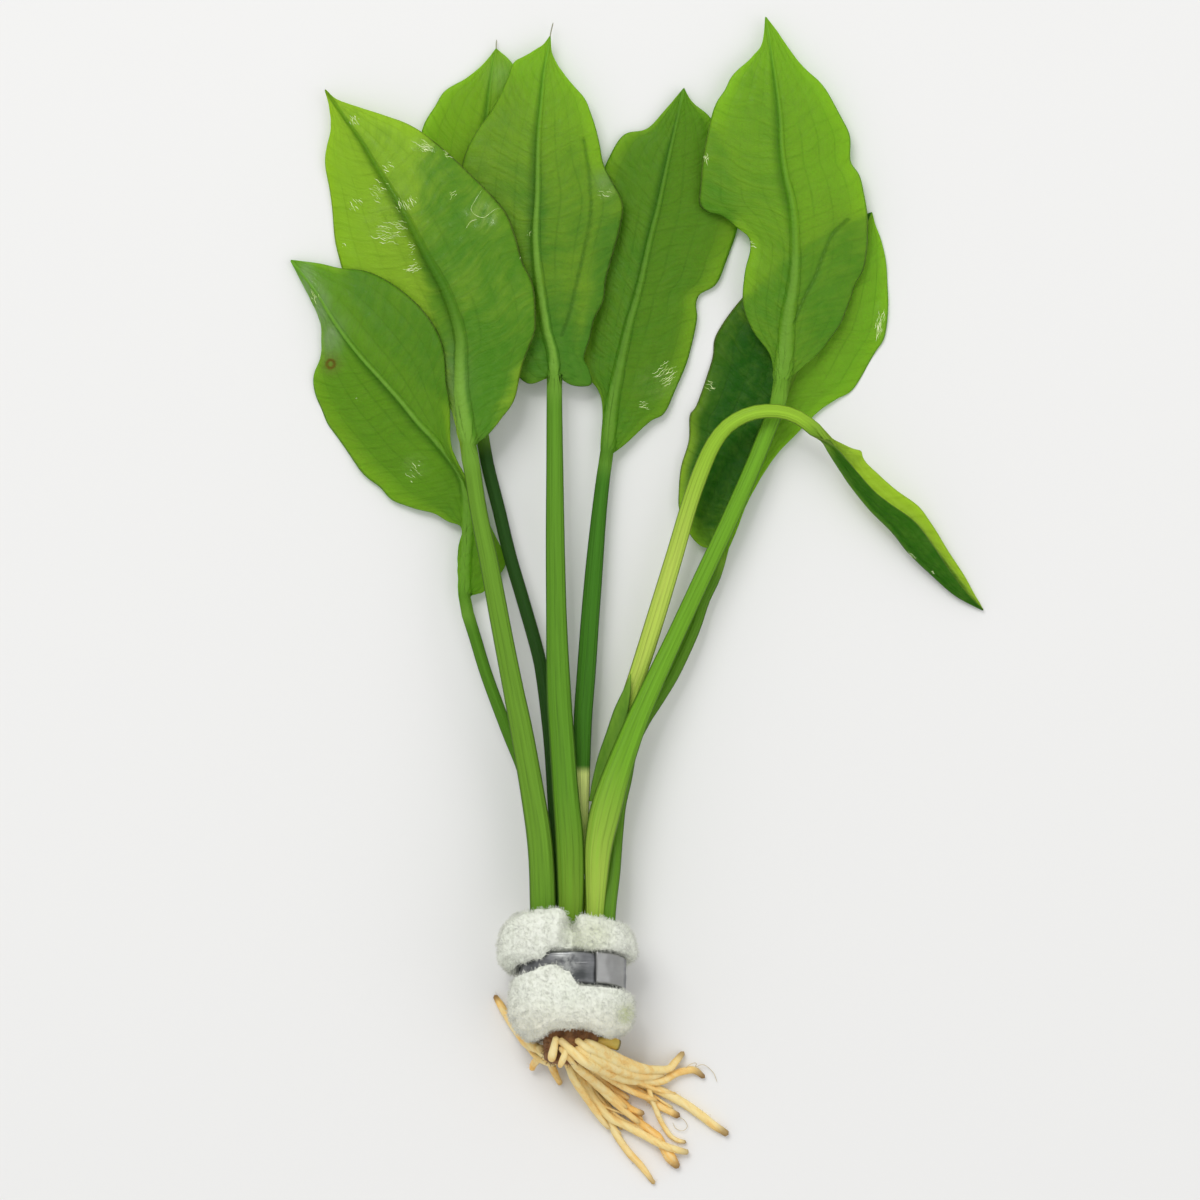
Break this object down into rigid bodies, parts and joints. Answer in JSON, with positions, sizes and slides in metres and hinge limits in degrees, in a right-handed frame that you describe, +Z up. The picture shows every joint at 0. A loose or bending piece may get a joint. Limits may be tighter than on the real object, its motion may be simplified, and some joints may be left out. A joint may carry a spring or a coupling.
{
  "type": "amazon sword plant",
  "caption": "Bare-root amazon sword plant lying flat: broad green leaves on long stalks, a young leaf bent over, white foam and a grey strip round its crown, thin pale roots.",
  "frame": {"origin": "middle of the bounding box at its underside, on the surface that the plant lies on", "axes": "+Y from the roots to the leaf tips, +Z up away from the surface that the plant lies on, +X to the right as seen from above with the leaf tips at the top"},
  "size_m": [0.1565, 0.264, 0.0257],
  "materials": {
    "leaf": "satin, wet in places, slightly translucent",
    "young_leaf": "satin, slightly translucent",
    "foam": "matt, open-pored",
    "strip": "dull, rolled sheet",
    "crown": "matt, rough",
    "stub": "satin",
    "root": "satin, fibrous"
  },
  "bodies": {
    "root": {"leaf_front_left": "leaf", "leaf_large_left": "leaf", "leaf_back_left": "leaf", "leaf_centre": "leaf", "leaf_centre_right": "leaf", "leaf_tall_right": "leaf", "leaf_back_right": "leaf", "leaf_bent": "young_leaf", "sheath": "leaf", "crown": "crown", "cut_stub": "stub", "foam_wrap": "foam", "weight_strip": "strip", "root_left_long": "root", "root_left_middle": "root", "root_left_short": "root", "root_loop_left": "root", "root_loop_right": "root", "root_upper": "root", "root_upper_right": "root", "root_far_right": "root", "root_middle_right": "root", "root_branch": "root", "root_short_middle": "root", "root_pale": "root", "root_stout": "root", "root_lower": "root"}
  },
  "joints": []
}
